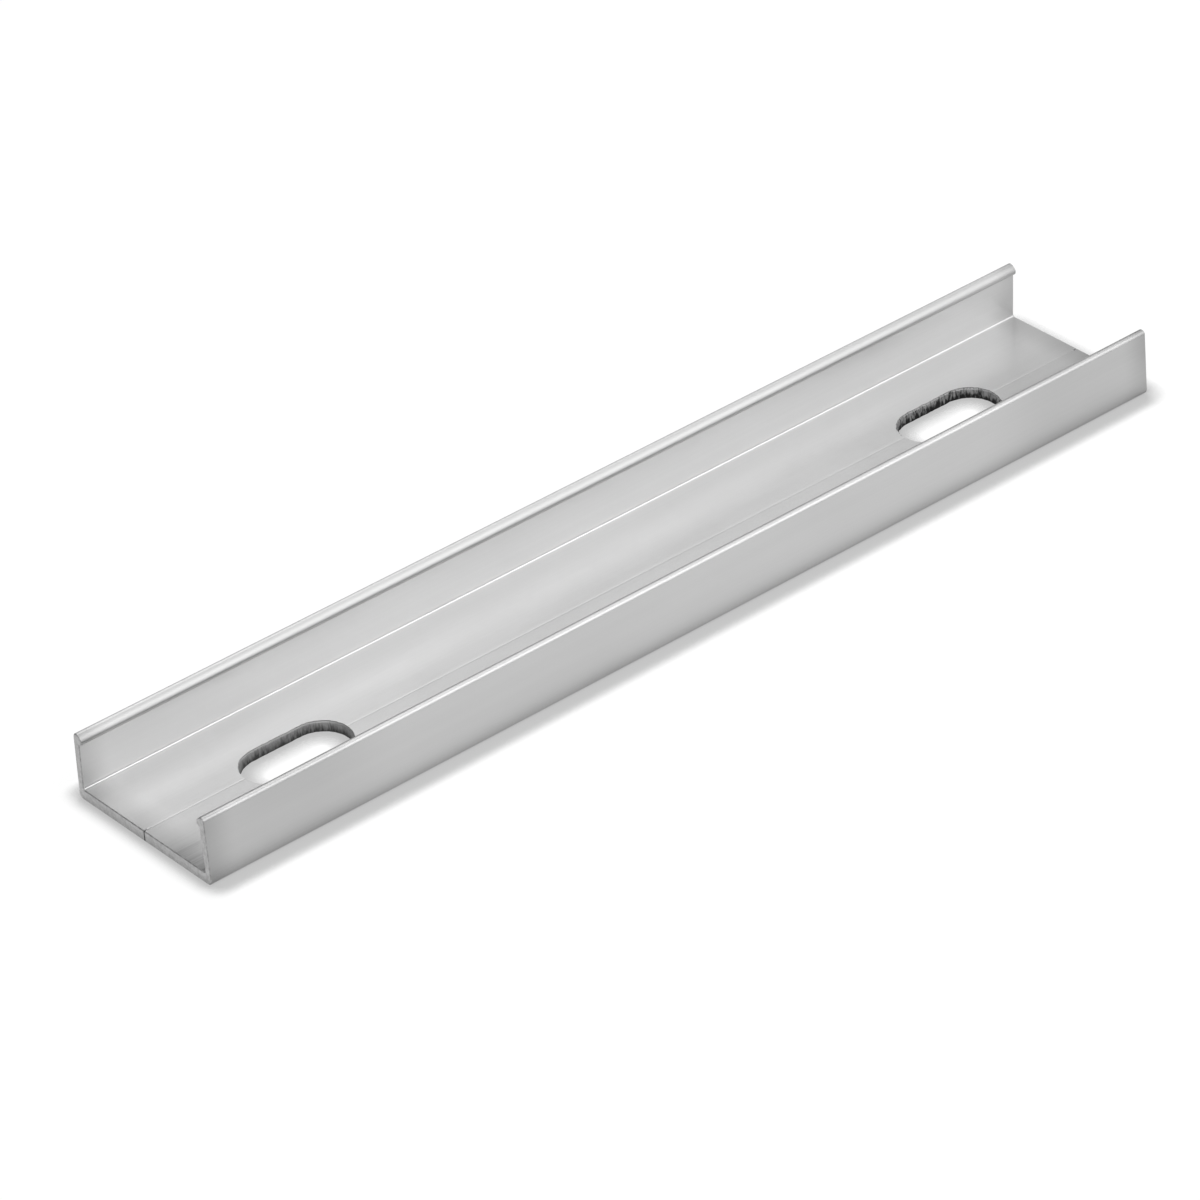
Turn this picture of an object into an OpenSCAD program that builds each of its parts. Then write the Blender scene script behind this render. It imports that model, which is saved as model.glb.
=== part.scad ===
// Mounting strip: one saw-cut length of extruded aluminium channel.
// Two slotted holes in the web take the screws. Two low flanges stand up from the web, and an
// inward bead along the top of each flange holds a part that is pressed into the channel.
// Millimetres. The origin is at the centre of the underside. +X runs along the strip, +Y across
// it and +Z up, out of the open side of the channel.

/* [Strip] */
// Length between the two saw-cut ends
strip_length = 150; // [140:1:300]
// Width over the outsides of the two flanges
strip_width = 25.5; // [20:0.5:40]
// Height from the underside of the web to the tops of the flanges
strip_height = 9.3; // [7:0.1:15]

/* [Walls] */
// Thickness of the web
web_thickness = 1.5; // [1.1:0.1:2]
// Thickness of each flange below its bead
flange_thickness = 1; // [0.8:0.1:1.4]

/* [Corners] */
// Radius of the rounded corner between the underside and the outside of a flange
outer_corner_radius = 0.8; // [0.4:0.1:1]
// Radius of the fillet between the web and the inside of a flange
inner_fillet_radius = 0.3; // [0.1:0.05:0.6]
// Radius of the rounded outer edge along the top of a flange
top_edge_radius = 0.55; // [0.2:0.05:0.6]

/* [Beads] */
// Distance that a bead stands in from the inside of its flange
bead_reach = 0.5; // [0.35:0.05:0.6]
// Radius of the rounded nose of a bead
bead_radius = 0.9; // [0.7:0.05:1]

/* [Centre line] */
// Width of the fine marking groove along the middle of the web
groove_width = 0.3; // [0.2:0.05:0.6]
// Depth of the marking groove
groove_depth = 0.1; // [0.05:0.05:0.3]

/* [Slots] */
// Length of a slotted hole, end to end
slot_length = 15; // [10:0.5:20]
// Width of a slotted hole
slot_width = 8; // [4.5:0.5:9]
// Distance between the middles of the two slotted holes
slot_spacing = 105; // [60:1:115]

/* [View] */
// Piece to show

/* [Hidden] */
$fn = 96;
// Distance that a cutting shape runs past the face it cuts
overcut = 1;
half_width = strip_width / 2;
// Middle of a bead's nose, measured in from the outside of its flange
bead_centre_in = flange_thickness + bead_reach - bead_radius;
// Middle of a bead's nose above the underside
bead_centre_up = strip_height - bead_radius;
// The rounded outer edge ends before the middle of the bead's nose
top_round = min(top_edge_radius, bead_centre_in - 0.05);
slot_straight = slot_length - slot_width;

// The solid underside of the channel up to the web's top face, with rounded outer corners
module web_profile() {
    corner = outer_corner_radius;
    translate([-half_width, corner])
        square([strip_width, web_thickness - corner]);
    translate([corner - half_width, 0])
        square([strip_width - 2 * corner, corner]);
    for (side = [-1, 1])
        translate([side * (half_width - corner), corner])
            circle(r = corner);
}

// One flange with its bead, drawn with its outside on x = 0 and its inside towards +x
module flange_profile() {
    translate([0, outer_corner_radius])
        square([flange_thickness, strip_height - top_round - outer_corner_radius]);
    translate([top_round, strip_height - top_round])
        circle(r = top_round);
    translate([top_round, bead_centre_up])
        square([bead_centre_in - top_round, bead_radius]);
    intersection() {
        translate([bead_centre_in, bead_centre_up])
            circle(r = bead_radius);
        translate([flange_thickness / 2, 0])
            square([flange_thickness + bead_radius, strip_height + overcut]);
    }
}

// The small concave fillet beside a flange, in the corner at the origin
module fillet_profile() {
    difference() {
        translate([-inner_fillet_radius, -inner_fillet_radius])
            square(2 * inner_fillet_radius);
        translate([inner_fillet_radius, inner_fillet_radius])
            circle(r = inner_fillet_radius);
        translate([inner_fillet_radius, -2 * inner_fillet_radius])
            square(4 * inner_fillet_radius);
        translate([-2 * inner_fillet_radius, inner_fillet_radius])
            square(4 * inner_fillet_radius);
    }
}

// One side of the channel: a flange, its bead and its fillet
module side_profile() {
    translate([-half_width, 0]) {
        flange_profile();
        translate([flange_thickness, web_thickness])
            fillet_profile();
    }
}

module groove_profile() {
    polygon([
        [-groove_width / 2, web_thickness],
        [0, web_thickness - groove_depth],
        [groove_width / 2, web_thickness],
        [groove_width / 2, web_thickness + overcut],
        [-groove_width / 2, web_thickness + overcut]
    ]);
}

// The whole cross-section that the strip is drawn through
module channel_profile() {
    difference() {
        web_profile();
        groove_profile();
    }
    side_profile();
    mirror([1, 0])
        side_profile();
}

// One slotted hole, round at both ends, through the web
module slot_cut() {
    translate([0, 0, -overcut])
        linear_extrude(height = web_thickness + 2 * overcut) {
            square([slot_straight, slot_width], center = true);
            for (end = [-1, 1])
                translate([end * slot_straight / 2, 0])
                    circle(d = slot_width);
        }
}

module strip() {
    color([0.78, 0.79, 0.80])
        difference() {
            translate([-strip_length / 2, 0, 0])
                rotate([90, 0, 90])
                    linear_extrude(height = strip_length)
                        channel_profile();
            for (end = [-1, 1])
                translate([end * slot_spacing / 2, 0, 0])
                    slot_cut();
        }
}

strip();
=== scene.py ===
import math

import bmesh
import bpy
from mathutils import Matrix, Vector


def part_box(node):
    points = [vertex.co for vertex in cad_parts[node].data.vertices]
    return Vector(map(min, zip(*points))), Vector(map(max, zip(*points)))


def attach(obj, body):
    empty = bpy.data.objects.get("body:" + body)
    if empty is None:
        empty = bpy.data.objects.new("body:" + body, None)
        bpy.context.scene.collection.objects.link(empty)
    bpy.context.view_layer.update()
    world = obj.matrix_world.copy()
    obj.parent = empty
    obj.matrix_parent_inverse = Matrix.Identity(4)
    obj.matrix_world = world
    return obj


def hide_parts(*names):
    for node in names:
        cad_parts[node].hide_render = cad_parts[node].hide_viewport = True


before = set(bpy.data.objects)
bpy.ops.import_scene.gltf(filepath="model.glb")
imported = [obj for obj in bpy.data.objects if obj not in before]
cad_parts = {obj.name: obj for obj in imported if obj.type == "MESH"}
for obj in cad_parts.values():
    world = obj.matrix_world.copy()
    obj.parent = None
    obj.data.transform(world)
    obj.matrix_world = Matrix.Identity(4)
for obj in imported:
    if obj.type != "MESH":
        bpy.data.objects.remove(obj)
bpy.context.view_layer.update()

MM = 0.001
# Places closer together than this are one place. An edge longer than LONG runs along the strip.
TOL = 0.004 * MM
LONG = 10 * MM

# ---------------------------------------------------------------------------------------------
# Sizes of the strip, in metres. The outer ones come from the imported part's own box.
# ---------------------------------------------------------------------------------------------
low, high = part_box("strip")
HALF_LENGTH = (high[0] - low[0]) / 2
HALF_WIDTH = (high[1] - low[1]) / 2
HEIGHT = high[2] - low[2]
WEB = 1.5 * MM
FLANGE = 1.0 * MM
OUTER_CORNER = 0.8 * MM
INNER_FILLET = 0.3 * MM
TOP_ROUND = 0.55 * MM
BEAD_REACH = 0.5 * MM
BEAD_RADIUS = 0.9 * MM
# A rounded edge with a fullness of 0.5 is a true arc. The top of the nose is a little flatter, and
# the nose turns in under the bead more tightly than it rounds the top.
ARC = 0.5
NOSE_FULLNESS = 0.4
UNDER_RADIUS = 0.5 * MM
# Each flange leans in by this much at its top.
LEAN = 0.22 * MM
# The saw leaves this much of a broken edge round both ends.
SAWN_EDGE = 0.11 * MM
# The marking groove and the finer die line beside it: half widths, and depths at the middle
GROOVE_HALF = 0.11 * MM
GROOVE_DEPTH = 0.018 * MM
DIE_LINE_AT = -1.42 * MM
DIE_LINE_HALF = 0.09 * MM
DIE_LINE_DEPTH = 0.01 * MM
# The saw tore the groove open at both ends. The torn notch gets cuts at these distances from the
# end, and is this wide on each side of the middle line.
NOTCH_CUTS = (0.25 * MM, 0.6 * MM)
NOTCH_HALF = 0.22 * MM
# The notch's middle line is moved in three steps. Each takes what is higher than the first number
# and closer to the end than the second, and lowers it by the third or tears it inwards by the last.
NOTCH_STEPS = (
    (1.2 * MM, 0.3 * MM, 0.25 * MM, 0),
    (1.0 * MM, 0.2 * MM, 0.45 * MM, 0),
    (0.3 * MM, 0.05 * MM, 0, 0.22 * MM),
)
SLOT_LENGTH = 15.0 * MM
SLOT_WIDTH = 8.0 * MM
SLOT_AT = 52.5 * MM
# In the middle of its wall a slot is this much narrower all round than its size.
SLOT_INSET = 0.04 * MM
# The slot's outline: points round its two ends, and more on each half of a straight side
ROUND_POINTS = 76
SIDE_POINTS = 9
# The block that cuts a slot starts below the web. Its outline is this rough, and each level above
# rises by the first number and is rougher than the one below it by the second.
BLOCK_START = -0.6 * MM
BLOCK_ROUGH = 0.035 * MM
WALL_LEVELS = (
    (0.6 * MM, 0),
    (0.3 * MM, 0.01 * MM),
    (0.3 * MM, 0.015 * MM),
    (0.3 * MM, 0.025 * MM),
    (0.2 * MM, 0.025 * MM),
)
# The rolled edge at the top: how far each level rises, and how much wider it is all round
ROLL_LEVELS = (
    (0.11 * MM, 0.015 * MM),
    (0.09 * MM, 0.035 * MM),
    (0.06 * MM, 0.05 * MM),
    (0.04 * MM, 0.07 * MM),
)
BLOCK_RUN_ON = 0.6 * MM

# Where a bead's rounded nose ends on its flange, and where the two tangents of its lower arc meet
INNER_WALL = HALF_WIDTH - FLANGE
NOSE = INNER_WALL - BEAD_REACH
NOSE_MIDDLE_UP = HEIGHT - BEAD_RADIUS
ARC_DROP = math.sqrt(UNDER_RADIUS**2 - (UNDER_RADIUS - BEAD_REACH) ** 2)
UNDER_BEAD = NOSE_MIDDLE_UP - ARC_DROP
ARC_RUN = BEAD_REACH * UNDER_RADIUS / ARC_DROP
NOSE_CORNER = NOSE_MIDDLE_UP - ARC_RUN


# ---------------------------------------------------------------------------------------------
# Shaping by hand
# ---------------------------------------------------------------------------------------------
def deselect():
    if bpy.context.mode != "OBJECT":
        bpy.ops.object.mode_set(mode="OBJECT")
    bpy.ops.object.select_all(action="DESELECT")


def settle(piece, name):
    """The new piece gets its name, and its place goes into its mesh."""
    piece.name = name
    piece.data.name = name
    bpy.ops.object.transform_apply(location=True, rotation=True, scale=True)
    return piece


def pick_all():
    bpy.ops.mesh.select_all(action="SELECT")


def pick(kind, test):
    """In edit mode, selects only the faces, edges or vertices that pass the test."""
    mesh = bpy.context.edit_object.data
    bpy.ops.mesh.select_mode(type=kind)
    bpy.ops.mesh.select_all(action="DESELECT")
    work = bmesh.from_edit_mesh(mesh)
    for item in {"FACE": work.faces, "EDGE": work.edges, "VERT": work.verts}[kind]:
        if test(item):
            item.select_set(True)
    work.select_flush_mode()
    bmesh.update_edit_mesh(mesh)


def cut_across(axis, place):
    """Cuts the whole mesh by a plane square to the axis (0, 1 or 2)."""
    at, square_to = [0, 0, 0], [0, 0, 0]
    at[axis], square_to[axis] = place, 1
    pick_all()
    bpy.ops.mesh.bisect(plane_co=at, plane_no=square_to)


def slide(x=0, y=0, z=0):
    bpy.ops.transform.translate(value=(x, y, z))


def pull(x=0, y=0, z=0):
    bpy.ops.mesh.extrude_region_move(TRANSFORM_OT_translate={"value": (x, y, z)})


def long_edge(y, z):
    """Tests an edge that runs along the strip at that distance from the middle and height."""
    def test(edge):
        a, b = edge.verts[0].co, edge.verts[1].co
        there = all(abs(abs(c.y) - y) < TOL and abs(c.z - z) < TOL for c in (a, b))
        return there and abs(a.x - b.x) > LONG
    return test


def bead_side(side):
    """Tests a face on the inside of one flange, above the underside of its bead."""
    def test(face):
        middle = face.calc_center_median()
        return face.normal.y * side < -0.9 and middle.y * side > 0 and middle.z > UNDER_BEAD
    return test


def notch_middle(end, above, within):
    """Tests a vertex on the middle line, higher than above and closer than within to that end."""
    def test(vert):
        place = vert.co
        return abs(place.y) < TOL and place.z > above and place.x * end > HALF_LENGTH - within
    return test


def round_edges(y, z, offset, segments, fullness=ARC):
    """Rounds the long edges there."""
    pick("EDGE", long_edge(y, z))
    bpy.ops.mesh.bevel(offset_type="OFFSET", offset=offset, segments=segments, profile=fullness,
                       affect="EDGES", clamp_overlap=False)


def drawn_length():
    """The extruded length: web, two flanges with their beads, corners, fillets and groove."""
    deselect()
    block = (2 * (HALF_LENGTH - SAWN_EDGE), 2 * HALF_WIDTH, WEB)
    bpy.ops.mesh.primitive_cube_add(size=1, location=(0, 0, WEB / 2), scale=block)
    strip = settle(bpy.context.object, "drawn_strip")
    bpy.ops.object.mode_set(mode="EDIT")

    # The flanges are pulled up out of the web's two outer margins.
    for side in (-1, 1):
        cut_across(1, side * INNER_WALL)
    pick("FACE", lambda f: f.normal.z > 0.9 and abs(f.calc_center_median().y) > INNER_WALL)
    pull(z=HEIGHT - WEB)

    # Each bead is pulled in from the top of its flange, and its underside is tipped.
    cut_across(2, UNDER_BEAD)
    for side in (-1, 1):
        pick("FACE", bead_side(side))
        pull(y=-side * BEAD_REACH)
    pick("EDGE", long_edge(NOSE, UNDER_BEAD))
    slide(z=NOSE_CORNER - UNDER_BEAD)
    pick_all()
    bpy.ops.mesh.dissolve_limited(angle_limit=math.radians(0.5))

    # Both arcs of the nose, the rounded corners, and the fillets beside the web
    round_edges(NOSE, HEIGHT, BEAD_RADIUS, segments=16, fullness=NOSE_FULLNESS)
    round_edges(NOSE, NOSE_CORNER, ARC_RUN, segments=8)
    round_edges(HALF_WIDTH, HEIGHT, TOP_ROUND, segments=10)
    round_edges(HALF_WIDTH, 0, OUTER_CORNER, segments=10)
    round_edges(INNER_WALL, WEB, INNER_FILLET, segments=6)
    pick_all()
    bpy.ops.mesh.remove_doubles(threshold=0.001 * MM)

    # Both flanges lean in a little. Their walls have no points between the web and the bead.
    just_under_bead = UNDER_BEAD - 0.1 * MM
    for side in (-1, 1):
        pick("VERT", lambda v: v.co.y * side > 0 and v.co.z > just_under_bead)
        slide(y=-side * LEAN)

    # The sawn ends, with their edges just broken
    pick("FACE", lambda f: abs(f.normal.x) > 0.9)
    bpy.ops.mesh.inset(thickness=SAWN_EDGE, depth=SAWN_EDGE, use_even_offset=True)

    # The marking groove on the middle of the web, and the finer die line beside it
    on_top = WEB - 2 * SAWN_EDGE
    for middle, half, depth in ((0, GROOVE_HALF, GROOVE_DEPTH),
                                (DIE_LINE_AT, DIE_LINE_HALF, DIE_LINE_DEPTH)):
        for y in (middle - half, middle, middle + half):
            cut_across(1, y)
        pick("VERT", lambda v: abs(v.co.y - middle) < TOL and v.co.z > on_top)
        slide(z=-depth)

    # The torn notch at both ends of the groove
    for end in (-1, 1):
        for x in NOTCH_CUTS:
            cut_across(0, end * (HALF_LENGTH - x))
        for y in (-NOTCH_HALF, NOTCH_HALF):
            cut_across(1, y)
        for above, within, drop, tear in NOTCH_STEPS:
            pick("VERT", notch_middle(end, above, within))
            slide(x=-end * tear, z=-drop)
    bpy.ops.object.mode_set(mode="OBJECT")
    return strip


def slot_cutter(end, seed, tear):
    """A block with the outline of a slotted hole. Its sides are fluted, because the punch dragged
    the metal, and they grow rougher towards the top."""
    deselect()
    bpy.ops.mesh.primitive_circle_add(vertices=ROUND_POINTS, radius=SLOT_WIDTH / 2 - SLOT_INSET,
                                      fill_type="NGON", location=(end * SLOT_AT, 0, BLOCK_START))
    cutter = settle(bpy.context.object, "slot_cutter")
    bpy.ops.object.mode_set(mode="EDIT")
    # The two halves of the circle are slid apart, and the straight sides between them get points.
    half_straight = (SLOT_LENGTH - SLOT_WIDTH) / 2
    for half in (-1, 1):
        pick("VERT", lambda v: (v.co.x - end * SLOT_AT) * half > TOL)
        slide(x=half * half_straight)
    pick("EDGE", lambda e: e.calc_length() > half_straight / 2)
    bpy.ops.mesh.subdivide(number_cuts=SIDE_POINTS)

    def roughen(offset, turn):
        """Moves the selected points at random, and levels them again."""
        work = bmesh.from_edit_mesh(cutter.data)
        level = max(v.co.z for v in work.verts if v.select)
        bpy.ops.transform.vertex_random(offset=offset, uniform=1.0, normal=0.0, seed=seed + turn)
        bpy.ops.transform.resize(value=(1, 1, 0), center_override=(0, 0, level))

    pick_all()
    roughen(BLOCK_ROUGH * tear, 0)
    for turn, (rise, offset) in enumerate(WALL_LEVELS, start=1):
        pull(z=rise)
        if offset:
            roughen(offset * tear, turn)
    # The top edge is rolled over where the punch drew the metal in, and the block runs on above it.
    for rise, wider in ROLL_LEVELS:
        pull(z=rise)
        grow = (1 + wider / (SLOT_LENGTH / 2), 1 + wider / (SLOT_WIDTH / 2), 1)
        bpy.ops.transform.resize(value=grow, center_override=(end * SLOT_AT, 0, 0))
    pull(z=BLOCK_RUN_ON)
    pick_all()
    bpy.ops.mesh.normals_make_consistent(inside=False)
    bpy.ops.object.mode_set(mode="OBJECT")
    return cutter


def hold(piece):
    """The piece alone is selected and active."""
    deselect()
    piece.select_set(True)
    bpy.context.view_layer.objects.active = piece


def cut_away(piece, cutter):
    hold(piece)
    bpy.ops.object.modifier_add(type="BOOLEAN")
    piece.modifiers[-1].operation = "DIFFERENCE"
    piece.modifiers[-1].solver = "EXACT"
    piece.modifiers[-1].object = cutter
    bpy.ops.object.modifier_apply(modifier=piece.modifiers[-1].name)
    bpy.data.objects.remove(cutter)


# ---------------------------------------------------------------------------------------------
# Finishes
# ---------------------------------------------------------------------------------------------
def shade(hex_colour):
    """An sRGB hex colour as the linear values that a socket takes."""
    parts = [int(hex_colour[i:i + 2], 16) / 255 for i in (1, 3, 5)]
    linear = (c / 12.92 if c <= 0.04045 else ((c + 0.055) / 1.055) ** 2.4 for c in parts)
    return tuple(linear) + (1.0,)


def node(tree, kind, inputs=None, **settings):
    """Adds a node. The settings are the node's own properties. Each input, named or numbered, gets
    a constant, or a link from (node, output)."""
    new = tree.nodes.new(kind)
    for name, value in settings.items():
        if not hasattr(new, name):
            raise ValueError(name)
        setattr(new, name, value)
    for socket, value in (inputs or {}).items():
        if isinstance(value, tuple) and isinstance(value[0], bpy.types.Node):
            source, output = value
            tree.links.new(source.outputs[output], new.inputs[socket])
        else:
            new.inputs[socket].default_value = value
    return new


def fresh(name):
    material = bpy.data.materials.new(name)
    material.use_nodes = True
    material.node_tree.nodes.clear()
    return material, material.node_tree


def finish_with(tree, shader, output="BSDF"):
    node(tree, "ShaderNodeOutputMaterial", {"Surface": (shader, output)})


def extruded_aluminium():
    """Mill-finish aluminium 6063, as it leaves the die: satin, silver grey, with fine straight die
    lines along the length. The lines and a faint fine grain keep its reflections soft."""
    material, tree = fresh("mill_finish_aluminium")
    place = node(tree, "ShaderNodeTexCoord")
    where = node(tree, "ShaderNodeSeparateXYZ", {"Vector": (place, "Object")})
    endward = node(tree, "ShaderNodeMath", {0: (where, "X")}, operation="ABSOLUTE")
    outward = node(tree, "ShaderNodeMath", {0: (where, "Y")}, operation="ABSOLUTE")

    # Die lines are about 0.05 mm apart. They are drawn 0.3 mm apart, so that they show.
    lines_at = node(tree, "ShaderNodeMapping", {
        "Vector": (place, "Object"), "Scale": (9, 3300, 3300)})
    lines = node(tree, "ShaderNodeTexNoise", {
        "Vector": (lines_at, "Vector"), "Scale": 1.0, "Detail": 3.0, "Roughness": 0.6})
    # Soft cloudy patches 6 mm across and some 20 mm long
    cloud_at = node(tree, "ShaderNodeMapping", {
        "Vector": (place, "Object"), "Scale": (50, 170, 170)})
    cloud = node(tree, "ShaderNodeTexNoise", {
        "Vector": (cloud_at, "Vector"), "Scale": 1.0, "Detail": 2.0})
    # Grain of the etched skin: 0.1 mm in the metal, drawn 0.3 mm
    grain = node(tree, "ShaderNodeTexNoise", {
        "Vector": (place, "Object"), "Scale": 3300.0, "Detail": 2.0})

    # What the lines and patches do: the part of the pattern that counts, and what it becomes
    mark = {}
    for name, pattern, least, most, first, last in (
        ("streak", lines, 0.3, 0.7, 0.985, 1.012),
        ("patch", cloud, 0.3, 0.7, 0.975, 1.02),
        # The die lines streak the painted shade beside the near flange.
        ("streaked_shade", lines, 0.35, 0.65, 0.76, 1.24),
        # The painted shade at the ends and beside the near flange is uneven: the soft patches make
        # it stronger and weaker by a third.
        ("uneven", cloud, 0.3, 0.7, 0.7, 1.3),
        ("skin_rough", cloud, 0.25, 0.75, 0.34, 0.40),
    ):
        mark[name] = node(tree, "ShaderNodeMapRange", {
            "Value": (pattern, "Fac"), "From Min": least, "From Max": most,
            "To Min": first, "To Max": last})

    # Zones of the skin: where each begins and ends, in millimetres, and its value on both sides
    zone = {}
    for name, axis, begins, ends, first, last in (
        # The near half of the web is a little darker than the far half.
        ("far_half", "Y", -0.12, 0.12, 0.0, 1.0),
        # Painted shade: the near half is darker the closer it comes to its flange.
        ("flange_shade_across", "Y", -1.5, -11.0, 0.0, 0.36),
        ("flange_shade_up", "Z", 1.6, 3.0, 1.0, 0.0),
        # The painted shade at the ends is lighter on the far half.
        ("end_shade_across", "Y", 4.0, -4.0, 0.15, 1.0),
        # A painted highlight makes the far side of the web brightest.
        ("highlight_across", "Y", 2.5, 7.0, 0.0, 0.085),
        ("highlight_up", "Z", 1.6, 2.2, 1.0, 0.0),
        # Painted shade: both beads and the far top are darker than the outer edge of the near top.
        ("near_bead", "Y", -12.15, -11.90, 0.0, 0.32),
        ("far_bead", "Y", -1.0, 1.0, 0.0, -0.12),
        ("far_top", "Y", 11.2, 11.9, 0.0, -0.12),
    ):
        zone[name] = node(tree, "ShaderNodeMapRange", {
            "Value": (where, axis), "From Min": begins * MM, "From Max": ends * MM,
            "To Min": first, "To Max": last})

    tone = node(tree, "ShaderNodeMix", {
        "Factor": (zone["far_half"], "Result"), 6: shade("#c4c4c4"), 7: shade("#c8c8c8"),
    }, data_type="RGBA")
    both = node(tree, "ShaderNodeMath", {
        0: (mark["streak"], "Result"), 1: (mark["patch"], "Result")}, operation="MULTIPLY")

    # The painted shade is on the web and the foot of the near flange, and not on the flange's
    # outside.
    inside = node(tree, "ShaderNodeMath", {
        0: (where, "Y"), 1: -12.1 * MM}, operation="GREATER_THAN")
    on_web = node(tree, "ShaderNodeMath", {
        0: (zone["flange_shade_up"], "Result"), 1: (inside, "Value")}, operation="MULTIPLY")
    flange_shade_there = node(tree, "ShaderNodeMath", {
        0: (zone["flange_shade_across"], "Result"), 1: (on_web, "Value")}, operation="MULTIPLY")
    flange_shade = node(tree, "ShaderNodeMath", {
        0: (flange_shade_there, "Value"), 1: (mark["streaked_shade"], "Result")}, operation="MULTIPLY")

    # Painted shade darkens both ends: faint, and heavier over the last 4 mm.
    end_shade, last_end_shade = [
        node(tree, "ShaderNodeMapRange", {
            "Value": (endward, "Value"), "From Min": begins * MM, "From Max": ends * MM,
            "To Min": 0.0, "To Max": strength,
        }, interpolation_type="SMOOTHSTEP")
        for begins, ends, strength in ((45.0, 60.0, 0.10), (70.5, 75.5, 0.22))]
    end_shade_there = node(tree, "ShaderNodeMath", {
        0: (end_shade, "Result"), 1: (zone["end_shade_across"], "Result")}, operation="MULTIPLY")
    all_end_shade = node(tree, "ShaderNodeMath", {
        0: (end_shade_there, "Value"), 1: (last_end_shade, "Result")}, operation="ADD")
    taken = node(tree, "ShaderNodeMath", {
        0: (all_end_shade, "Value"), 1: (flange_shade, "Value")}, operation="ADD")
    mottled = node(tree, "ShaderNodeMath", {
        0: (taken, "Value"), 1: (mark["uneven"], "Result")}, operation="MULTIPLY")

    # The painted highlight lifts the colour on the far side of the web.
    painted_light = node(tree, "ShaderNodeMath", {
        0: (zone["highlight_across"], "Result"), 1: (zone["highlight_up"], "Result"), 2: 1.0,
    }, operation="MULTIPLY_ADD")
    left_over = node(tree, "ShaderNodeMath", {
        0: (painted_light, "Value"), 1: (mottled, "Value")}, operation="SUBTRACT")
    share = node(tree, "ShaderNodeMath", {
        0: (both, "Value"), 1: (left_over, "Value")}, operation="MULTIPLY")
    skin_tone = node(tree, "ShaderNodeVectorMath", {
        0: (tone, 2), "Scale": (share, "Value")}, operation="SCALE")

    # The tops of the flanges are a little rougher, and painted darker, a painted shade that dims
    # their highlights.
    # On the outsides this part ends 0.9 mm higher up.
    outside = node(tree, "ShaderNodeMapRange", {
        "Value": (outward, "Value"), "From Min": 12.25 * MM, "From Max": 12.45 * MM,
        "To Min": 0.0, "To Max": -0.9 * MM})
    height = node(tree, "ShaderNodeMath", {
        0: (where, "Z"), 1: (outside, "Result")}, operation="ADD")
    top = node(tree, "ShaderNodeMapRange", {
        "Value": (height, "Value"), "From Min": 7.7 * MM, "From Max": 8.0 * MM,
        "To Min": 0.0, "To Max": 1.0})
    both_beads = node(tree, "ShaderNodeMath", {
        0: (zone["near_bead"], "Result"), 1: (zone["far_bead"], "Result")}, operation="ADD")
    top_shade = node(tree, "ShaderNodeMath", {
        0: (both_beads, "Value"), 1: (zone["far_top"], "Result")}, operation="ADD")
    top_shade_there = node(tree, "ShaderNodeMath", {
        0: (top, "Result"), 1: (top_shade, "Value")}, operation="MULTIPLY")
    top_shade_factor = node(tree, "ShaderNodeMath", {0: 1.0, 1: (top_shade_there, "Value")}, operation="SUBTRACT")
    colour = node(tree, "ShaderNodeVectorMath", {
        0: (skin_tone, "Vector"), "Scale": (top_shade_factor, "Value")}, operation="SCALE")
    rough = node(tree, "ShaderNodeMath", {
        0: (top, "Result"), 1: 0.07, 2: (mark["skin_rough"], "Result")}, operation="MULTIPLY_ADD")

    line_bump = node(tree, "ShaderNodeBump", {
        "Height": (lines, "Fac"), "Strength": 0.2, "Distance": 0.02 * MM})
    grain_bump = node(tree, "ShaderNodeBump", {
        "Height": (grain, "Fac"), "Strength": 0.25, "Distance": 0.02 * MM,
        "Normal": (line_bump, "Normal")})
    metal = node(tree, "ShaderNodeBsdfPrincipled", {
        "Base Color": (colour, "Vector"), "Metallic": 1.0, "Roughness": (rough, "Value"),
        "Normal": (grain_bump, "Normal")})
    finish_with(tree, metal)
    return material


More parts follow.
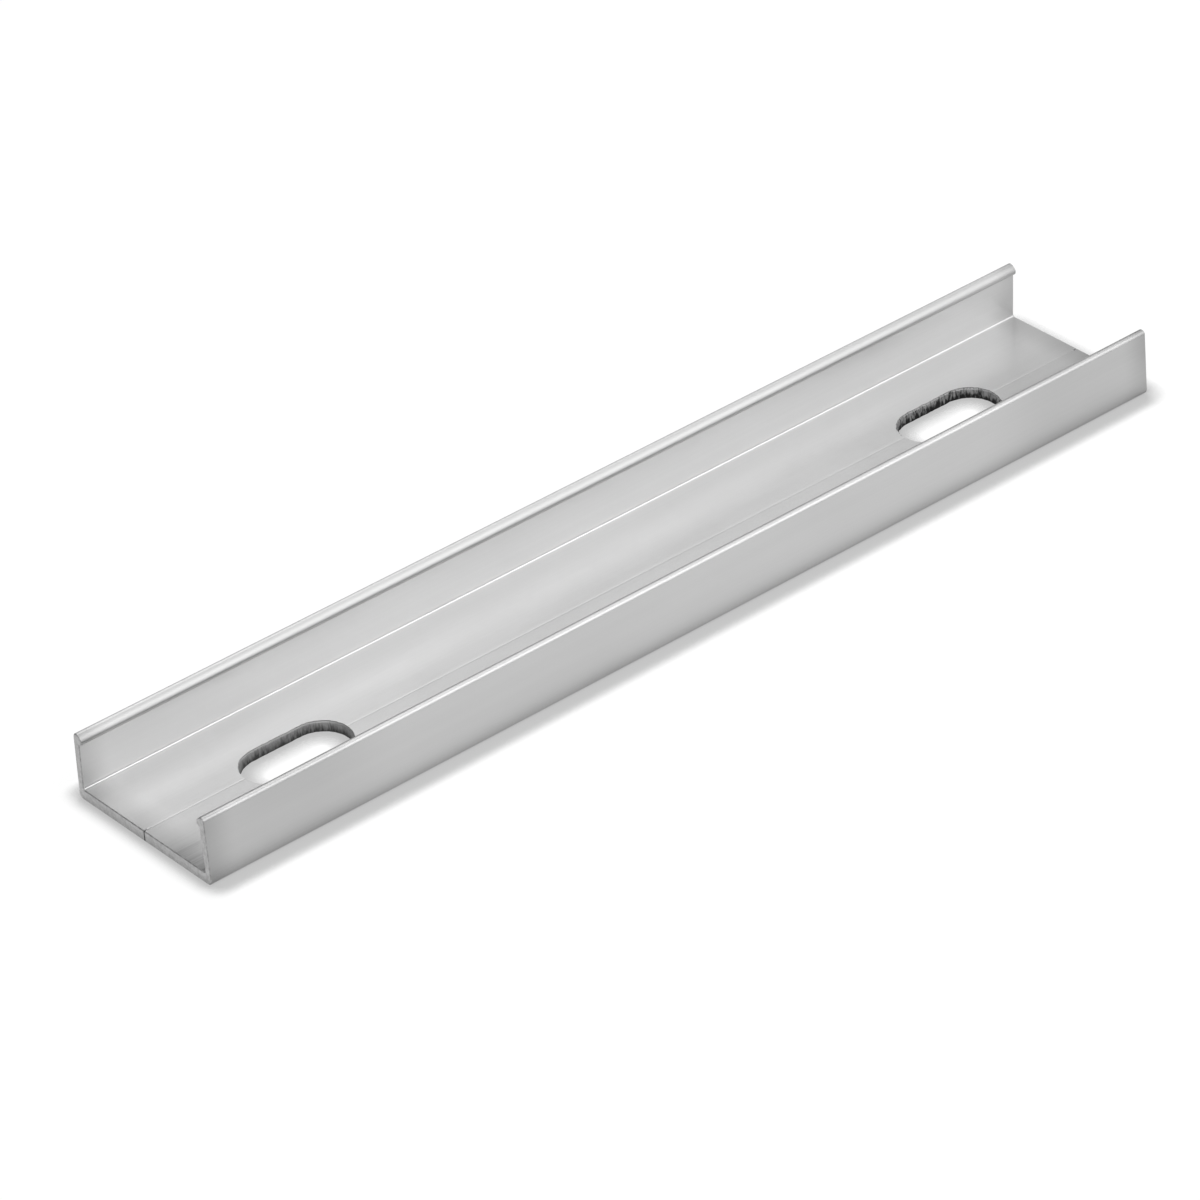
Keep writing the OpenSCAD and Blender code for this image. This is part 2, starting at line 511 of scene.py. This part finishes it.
def sawn_aluminium():
    """The same metal cut with a fine circular saw: duller and a little darker than the skin, with
    curved saw marks across the section."""
    material, tree = fresh("sawn_aluminium")
    place = node(tree, "ShaderNodeTexCoord")
    where = node(tree, "ShaderNodeSeparateXYZ", {"Vector": (place, "Object")})
    # Saw marks: arcs of a 240 mm blade whose middle was below the strip, 0.3 mm apart
    blade = node(tree, "ShaderNodeMapping", {
        "Vector": (place, "Object"), "Location": (0, 0.03, 0.115), "Scale": (0, 1, 1)})
    marks = node(tree, "ShaderNodeTexWave", {
        "Vector": (blade, "Vector"), "Scale": 1050.0, "Distortion": 1.5, "Detail": 2.0,
    }, wave_type="RINGS", rings_direction="X")
    # Grain of the cut, 0.4 mm
    grain = node(tree, "ShaderNodeTexNoise", {
        "Vector": (place, "Object"), "Scale": 2500.0, "Detail": 2.0})
    tone = node(tree, "ShaderNodeMapRange", {
        "Value": (grain, "Fac"), "From Min": 0.3, "From Max": 0.7, "To Min": 0.0, "To Max": 1.0})
    metal_tone = node(tree, "ShaderNodeMix", {
        "Factor": (tone, "Result"), 6: shade("#a2a2a2"), 7: shade("#b8b8b8")}, data_type="RGBA")
    # The web's cut is painted up to a fifth lighter than the flanges' cuts: painted light against
    # the floor's shadow that it reflects.
    painted_light = node(tree, "ShaderNodeMapRange", {
        "Value": (where, "Z"), "From Min": 1.3 * MM, "From Max": 2.5 * MM,
        "To Min": 1.2, "To Max": 1.0})
    colour = node(tree, "ShaderNodeVectorMath", {
        0: (metal_tone, 2), "Scale": (painted_light, "Result")}, operation="SCALE")
    mark_bump = node(tree, "ShaderNodeBump", {
        "Height": (marks, "Fac"), "Strength": 0.3, "Distance": 0.03 * MM})
    grain_bump = node(tree, "ShaderNodeBump", {
        "Height": (grain, "Fac"), "Strength": 0.3, "Distance": 0.03 * MM,
        "Normal": (mark_bump, "Normal")})
    metal = node(tree, "ShaderNodeBsdfPrincipled", {
        "Base Color": (colour, "Vector"), "Metallic": 1.0, "Roughness": 0.45,
        "Normal": (grain_bump, "Normal")})
    finish_with(tree, metal)
    return material


def punched_aluminium(name, upper, lower, begins, ends, wander):
    """The wall of a punched slot. At the top, where the punch came in, it is sheared and lighter.
    Towards the underside it is torn and darker, partly the torn metal and partly painted shade in
    the slot.
    Upright streaks run where the punch dragged, and the border between the two bands wanders up and
    down."""
    material, tree = fresh(name)
    place = node(tree, "ShaderNodeTexCoord")
    where = node(tree, "ShaderNodeSeparateXYZ", {"Vector": (place, "Object")})
    # Drag marks 0.3 mm apart that run the height of the wall
    drag_at = node(tree, "ShaderNodeMapping", {
        "Vector": (place, "Object"), "Scale": (3400, 3400, 800)})
    drag = node(tree, "ShaderNodeTexNoise", {
        "Vector": (drag_at, "Vector"), "Scale": 1.0, "Detail": 3.0, "Roughness": 0.6})
    # The pattern adds half of the wander on average, so the band's limits are that much higher.
    border = node(tree, "ShaderNodeMath", {
        0: (drag, "Fac"), 1: wander, 2: (where, "Z")}, operation="MULTIPLY_ADD")
    band = node(tree, "ShaderNodeMapRange", {
        "Value": (border, "Value"), "From Min": 0.5 * wander + begins,
        "From Max": 0.5 * wander + ends})
    tone = node(tree, "ShaderNodeMix", {
        "Factor": (band, "Result"), 6: shade(lower), 7: shade(upper)}, data_type="RGBA")
    # The rolled edge at the top keeps a tone close to the skin's.
    roll = node(tree, "ShaderNodeMapRange", {
        "Value": (where, "Z"), "From Min": 1.43 * MM, "From Max": WEB})
    colour = node(tree, "ShaderNodeMix", {
        "Factor": (roll, "Result"), 6: (tone, 2), 7: shade("#a8a8a8")}, data_type="RGBA")
    bump = node(tree, "ShaderNodeBump", {
        "Height": (drag, "Fac"), "Strength": 0.5, "Distance": 0.06 * MM})
    metal = node(tree, "ShaderNodeBsdfPrincipled", {
        "Base Color": (colour, 2), "Metallic": 1.0, "Roughness": 0.6, "Normal": (bump, "Normal")})
    finish_with(tree, metal)
    return material


def broken_edge_aluminium():
    """The narrow edge that the saw broke round both ends: rough, and painted dark, so it reads as a
    thin dark outline."""
    material, tree = fresh("broken_edge_aluminium")
    place = node(tree, "ShaderNodeTexCoord")
    # Specks 0.55 mm across in its dark colour
    grain = node(tree, "ShaderNodeTexNoise", {
        "Vector": (place, "Object"), "Scale": 1800.0, "Detail": 2.0})
    tone = node(tree, "ShaderNodeMapRange", {
        "Value": (grain, "Fac"), "From Min": 0.35, "From Max": 0.65})
    colour = node(tree, "ShaderNodeMix", {
        "Factor": (tone, "Result"), 6: shade("#929292"), 7: shade("#b0b0b0")}, data_type="RGBA")
    metal = node(tree, "ShaderNodeBsdfPrincipled", {
        "Base Color": (colour, 2), "Metallic": 1.0, "Roughness": 0.6})
    finish_with(tree, metal)
    return material


# ---------------------------------------------------------------------------------------------
# The strip
# ---------------------------------------------------------------------------------------------
strip = drawn_length()
for end, seed, tear in ((-1, 11, 0.8), (1, 47, 1.6)):
    cut_away(strip, slot_cutter(end, seed, tear))

# The left slot's wall is mostly sheared, and the right one's and the notches mostly torn. Both are
# painted darker towards the underside, partly as shade.
SKIN, SAWN, BROKEN, SHEARED_AND_SHADED, TORN_AND_SHADED = range(5)
finishes = (
    extruded_aluminium(),
    sawn_aluminium(),
    broken_edge_aluminium(),
    punched_aluminium("sheared_and_shaded_aluminium", upper="#9c9c9c", lower="#505050",
                      begins=0.1 * MM, ends=1.2 * MM, wander=2.6 * MM),
    punched_aluminium("torn_and_shaded_aluminium", upper="#a0a0a0", lower="#303030",
                      begins=0.4 * MM, ends=1.3 * MM, wander=5.0 * MM),
)
for finish in finishes:
    strip.data.materials.append(finish)

# Limits that tell the faces of the ends, the notches and the slots' walls from the skin
END_FACE = 0.02 * MM
NOTCH_FLOOR = 0.2 * MM
NOTCH_REACH = 0.24 * MM
END_WAY = 0.95
WALL_WAY = 0.97
ROUND_SLOT = 0.55
for face in strip.data.polygons:
    middle, way = face.center, face.normal
    endward, upward = abs(middle.x), abs(way.z)
    in_slot = (abs(endward - SLOT_AT) < SLOT_LENGTH * ROUND_SLOT
               and abs(middle.y) < SLOT_WIDTH * ROUND_SLOT)
    in_notch = (abs(middle.y) < NOTCH_HALF and middle.z > NOTCH_FLOOR
                and endward > HALF_LENGTH - NOTCH_REACH)
    if endward > HALF_LENGTH - END_FACE and abs(way.x) > END_WAY:
        face.material_index = SAWN
    elif in_notch:
        face.material_index = TORN_AND_SHADED
    elif endward > HALF_LENGTH - SAWN_EDGE:
        face.material_index = BROKEN
    elif in_slot and upward < WALL_WAY:
        face.material_index = SHEARED_AND_SHADED if middle.x < 0 else TORN_AND_SHADED
    else:
        face.material_index = SKIN

hold(strip)
bpy.ops.object.shade_smooth_by_angle(angle=math.radians(32))
bpy.ops.object.modifier_add(type="WEIGHTED_NORMAL")
strip.modifiers[-1].keep_sharp = True
strip.modifiers[-1].weight = 100
bpy.ops.object.modifier_apply(modifier=strip.modifiers[-1].name)

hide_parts("strip")
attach(strip, "root")


# ---------------------------------------------------------------------------------------------
# Floor, light and camera
# ---------------------------------------------------------------------------------------------
WHITE = (1, 1, 1, 1)
FLOOR_SIZE = 6
# The floor lies just below the strip, so that the two don't share a plane.
FLOOR_AT = -0.02 * MM
# Share of the plain white in what the camera and the metal see of the paper
PLAIN_WHITE = 0.88
WORLD_LIGHT = 0.3

# Soft boxes round the strip, which give the metal its bands of light: place and width in metres,
# and power in watts
SOFT_BOXES = (
    ("right_back_box", (0.312, 0.192, 0.475), 0.40, 0.48),
    ("right_high_box", (0.312, -0.071, 0.508), 0.40, 0.24),
    ("right_front_box", (0.312, -0.294, 0.420), 0.40, 0.66),
    ("right_low_front_box", (0.312, -0.444, 0.256), 0.40, 0.72),
    ("right_low_back_box", (0.312, 0.482, 0.175), 0.30, 0.17),
    ("back_box", (0.060, 0.470, 0.367), 0.40, 0.32),
    ("back_high_box", (0.060, 0.224, 0.553), 0.40, 0.85),
    ("front_box", (0.060, -0.422, 0.422), 0.40, 0.60),
    ("key_box", (-0.515, -0.297, 0.535), 0.35, 3.0),
)

# The camera stands left in front of the strip, 33 degrees up, and leans 4 degrees to the right.
CAMERA_AT = Vector((-391.61, -489.79, 407.92)) * MM
CAMERA_AIM = Vector((-8.646, -3.835, 4.0)) * MM
CAMERA_LEAN = math.radians(4.067)
CAMERA_LENS = 183.88
CAMERA_SENSOR = 36
NEAREST_SEEN = 10 * MM


def white_floor():
    """Plain white paper. It lights the strip as real paper does. What the camera and the metal see
    of it is mostly a plain white, so the ground stays white. It keeps the lit paper's shadow, and a
    painted contact shadow makes it darkest close round the strip, where the strip stands on it."""
    material, tree = fresh("white_paper")
    # Painted contact shadow: the white glows less where the strip hides the paper.
    contact = node(tree, "ShaderNodeAmbientOcclusion", {
        "Color": WHITE, "Distance": 3.0 * MM}, samples=6)
    depth = node(tree, "ShaderNodeMapRange", {
        "Value": (contact, "AO"), "From Min": 0.89, "From Max": 0.998,
        "To Min": 0.50, "To Max": 1.0})
    # The light comes a little from the left, and the painted shadow is painted lighter beyond the
    # left end, so it is narrower there.
    place = node(tree, "ShaderNodeTexCoord")
    where = node(tree, "ShaderNodeSeparateXYZ", {"Vector": (place, "Object")})
    beyond = node(tree, "ShaderNodeMapRange", {
        "Value": (where, "X"), "From Min": -75.2 * MM, "From Max": -77.4 * MM,
        "To Min": 0.50, "To Max": 1.0})
    level = node(tree, "ShaderNodeMath", {
        0: (depth, "Result"), 1: (beyond, "Result")}, operation="MAXIMUM")
    glow = node(tree, "ShaderNodeEmission", {"Color": WHITE, "Strength": (level, "Value")})
    lit = node(tree, "ShaderNodeBsdfDiffuse", {"Color": shade("#fafafa")})
    seen = node(tree, "ShaderNodeMixShader", {
        0: PLAIN_WHITE, 1: (lit, "BSDF"), 2: (glow, "Emission")})
    ray = node(tree, "ShaderNodeLightPath")
    eye = node(tree, "ShaderNodeMath", {
        0: (ray, "Is Camera Ray"), 1: (ray, "Is Glossy Ray")}, operation="MAXIMUM")
    eyes = node(tree, "ShaderNodeMath", {
        0: (eye, "Value"), 1: (ray, "Is Transmission Ray")}, operation="MAXIMUM")
    paper = node(tree, "ShaderNodeMixShader", {
        0: (eyes, "Value"), 1: (lit, "BSDF"), 2: (seen, "Shader")})
    finish_with(tree, paper, "Shader")
    deselect()
    bpy.ops.mesh.primitive_plane_add(size=FLOOR_SIZE, location=(0, 0, FLOOR_AT))
    floor = settle(bpy.context.object, "floor")
    floor.data.materials.append(material)


def soft_box(name, place, width, watts):
    """A square soft box that faces the middle of the strip."""
    deselect()
    bpy.ops.object.light_add(type="AREA", location=place)
    lamp = bpy.context.object
    lamp.name = name
    lamp.rotation_euler = (-Vector(place)).to_track_quat("-Z", "Y").to_euler()
    lamp.data.shape = "SQUARE"
    lamp.data.size = width
    lamp.data.energy = watts


white_floor()
world = bpy.data.worlds.new("soft_studio")
world.use_nodes = True
sky = world.node_tree.nodes["Background"]
sky.inputs["Color"].default_value = WHITE
sky.inputs["Strength"].default_value = WORLD_LIGHT
bpy.context.scene.world = world
for box in SOFT_BOXES:
    soft_box(*box)

deselect()
bpy.ops.object.camera_add(location=CAMERA_AT)
camera = bpy.context.object
camera.name = "photo_camera"
camera.data.sensor_width = CAMERA_SENSOR
camera.data.lens = CAMERA_LENS
camera.data.clip_start = NEAREST_SEEN
look = CAMERA_AIM - CAMERA_AT
lean = Matrix.Rotation(CAMERA_LEAN, 3, look.normalized())
camera.rotation_euler = (lean @ look.to_track_quat("-Z", "Y").to_matrix()).to_euler()
bpy.context.scene.camera = camera
bpy.context.scene.view_settings.view_transform = "Standard"

bpy.context.view_layer.update()
